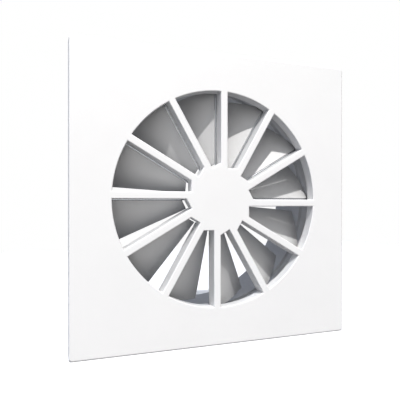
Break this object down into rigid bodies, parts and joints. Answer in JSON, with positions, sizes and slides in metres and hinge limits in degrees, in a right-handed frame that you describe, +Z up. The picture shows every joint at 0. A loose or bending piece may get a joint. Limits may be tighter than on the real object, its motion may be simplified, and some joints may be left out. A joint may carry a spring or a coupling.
{
  "type": "swirl air diffuser",
  "caption": "Square white ventilation face plate with radial slots, a separately adjustable sheet blade behind each slot, and a round duct collar with a rubber seal.",
  "frame": {"origin": "on the duct axis, in the plane of the wall or ceiling that the folded rim of the face plate meets", "axes": "+Y into the duct, away from the room; the front of the face plate looks along -Y; +Z up the face plate and +X to the right of someone who looks at it"},
  "size_m": [0.25, 0.08, 0.25],
  "materials": {
    "face_coat": "white satin powder coat on steel sheet",
    "blade_coat": "pale satin powder coat on thin steel sheet",
    "duct_coat": "pale satin powder coat, rolled sheet",
    "zinc_plate": "bright zinc-plated steel",
    "spring_steel": "stainless spring strip",
    "nylon": "natural moulded nylon",
    "seal_rubber": "black EPDM, extruded",
    "gasket_foam": "grey closed-cell foam strip"
  },
  "bodies": {
    "frame": {"face_panel": "face_coat", "hub_cup": "zinc_plate", "hub_stud": "zinc_plate", "hub_nut": "zinc_plate", "carrier_ring": "duct_coat", "collar": "duct_coat", "duct_seal": "seal_rubber", "panel_gasket": "gasket_foam", "flange_stud_1": "zinc_plate", "flange_stud_2": "zinc_plate", "flange_stud_3": "zinc_plate", "flange_stud_4": "zinc_plate", "flange_nut_1": "zinc_plate", "flange_nut_2": "zinc_plate", "flange_nut_3": "zinc_plate", "flange_nut_4": "zinc_plate", "retaining_spring_1": "spring_steel", "retaining_spring_2": "spring_steel", "retaining_spring_3": "spring_steel", "spring_rivet_1": "zinc_plate", "spring_rivet_2": "zinc_plate", "spring_rivet_3": "zinc_plate", "pivot_bush_01": "nylon", "pivot_bush_02": "nylon", "pivot_bush_03": "nylon", "pivot_bush_04": "nylon", "pivot_bush_05": "nylon", "pivot_bush_06": "nylon", "pivot_bush_07": "nylon", "pivot_bush_08": "nylon", "pivot_bush_09": "nylon", "pivot_bush_10": "nylon", "pivot_bush_11": "nylon", "pivot_bush_12": "nylon"},
    "blade_01": {"blade_01": "blade_coat", "pivot_rod_01": "zinc_plate"},
    "blade_02": {"blade_02": "blade_coat", "pivot_rod_02": "zinc_plate"},
    "blade_03": {"blade_03": "blade_coat", "pivot_rod_03": "zinc_plate"},
    "blade_04": {"blade_04": "blade_coat", "pivot_rod_04": "zinc_plate"},
    "blade_05": {"blade_05": "blade_coat", "pivot_rod_05": "zinc_plate"},
    "blade_06": {"blade_06": "blade_coat", "pivot_rod_06": "zinc_plate"},
    "blade_07": {"blade_07": "blade_coat", "pivot_rod_07": "zinc_plate"},
    "blade_08": {"blade_08": "blade_coat", "pivot_rod_08": "zinc_plate"},
    "blade_09": {"blade_09": "blade_coat", "pivot_rod_09": "zinc_plate"},
    "blade_10": {"blade_10": "blade_coat", "pivot_rod_10": "zinc_plate"},
    "blade_11": {"blade_11": "blade_coat", "pivot_rod_11": "zinc_plate"},
    "blade_12": {"blade_12": "blade_coat", "pivot_rod_12": "zinc_plate"}
  },
  "joints": [
    {"name": "blade_01_tilt", "type": "hinge", "parent": "frame", "child": "blade_01", "pos_m": [0.0297, 0.0025, 0.05214], "axis": [-0.5, 0, -0.866], "range_deg": [-24, 55]},
    {"name": "blade_02_tilt", "type": "hinge", "parent": "frame", "child": "blade_02", "pos_m": [0.05179, 0.0025, 0.0303], "axis": [-0.866, 0, -0.5], "range_deg": [-24, 55]},
    {"name": "blade_03_tilt", "type": "hinge", "parent": "frame", "child": "blade_03", "pos_m": [0.06, 0.0025, 0.00035], "axis": [-1, 0, 0], "range_deg": [-24, 55]},
    {"name": "blade_04_tilt", "type": "hinge", "parent": "frame", "child": "blade_04", "pos_m": [0.05214, 0.0025, -0.0297], "axis": [-0.866, 0, 0.5], "range_deg": [-24, 55]},
    {"name": "blade_05_tilt", "type": "hinge", "parent": "frame", "child": "blade_05", "pos_m": [0.0303, 0.0025, -0.05179], "axis": [-0.5, 0, 0.866], "range_deg": [-24, 55]},
    {"name": "blade_06_tilt", "type": "hinge", "parent": "frame", "child": "blade_06", "pos_m": [0.00035, 0.0025, -0.06], "axis": [0, 0, 1], "range_deg": [-24, 55]},
    {"name": "blade_07_tilt", "type": "hinge", "parent": "frame", "child": "blade_07", "pos_m": [-0.0297, 0.0025, -0.05214], "axis": [0.5, 0, 0.866], "range_deg": [-24, 55]},
    {"name": "blade_08_tilt", "type": "hinge", "parent": "frame", "child": "blade_08", "pos_m": [-0.05179, 0.0025, -0.0303], "axis": [0.866, 0, 0.5], "range_deg": [-24, 55]},
    {"name": "blade_09_tilt", "type": "hinge", "parent": "frame", "child": "blade_09", "pos_m": [-0.06, 0.0025, -0.00035], "axis": [1, 0, 0], "range_deg": [-24, 55]},
    {"name": "blade_10_tilt", "type": "hinge", "parent": "frame", "child": "blade_10", "pos_m": [-0.05214, 0.0025, 0.0297], "axis": [0.866, 0, -0.5], "range_deg": [-24, 55]},
    {"name": "blade_11_tilt", "type": "hinge", "parent": "frame", "child": "blade_11", "pos_m": [-0.0303, 0.0025, 0.05179], "axis": [0.5, 0, -0.866], "range_deg": [-24, 55]},
    {"name": "blade_12_tilt", "type": "hinge", "parent": "frame", "child": "blade_12", "pos_m": [-0.00035, 0.0025, 0.06], "axis": [0, 0, -1], "range_deg": [-24, 55]}
  ]
}
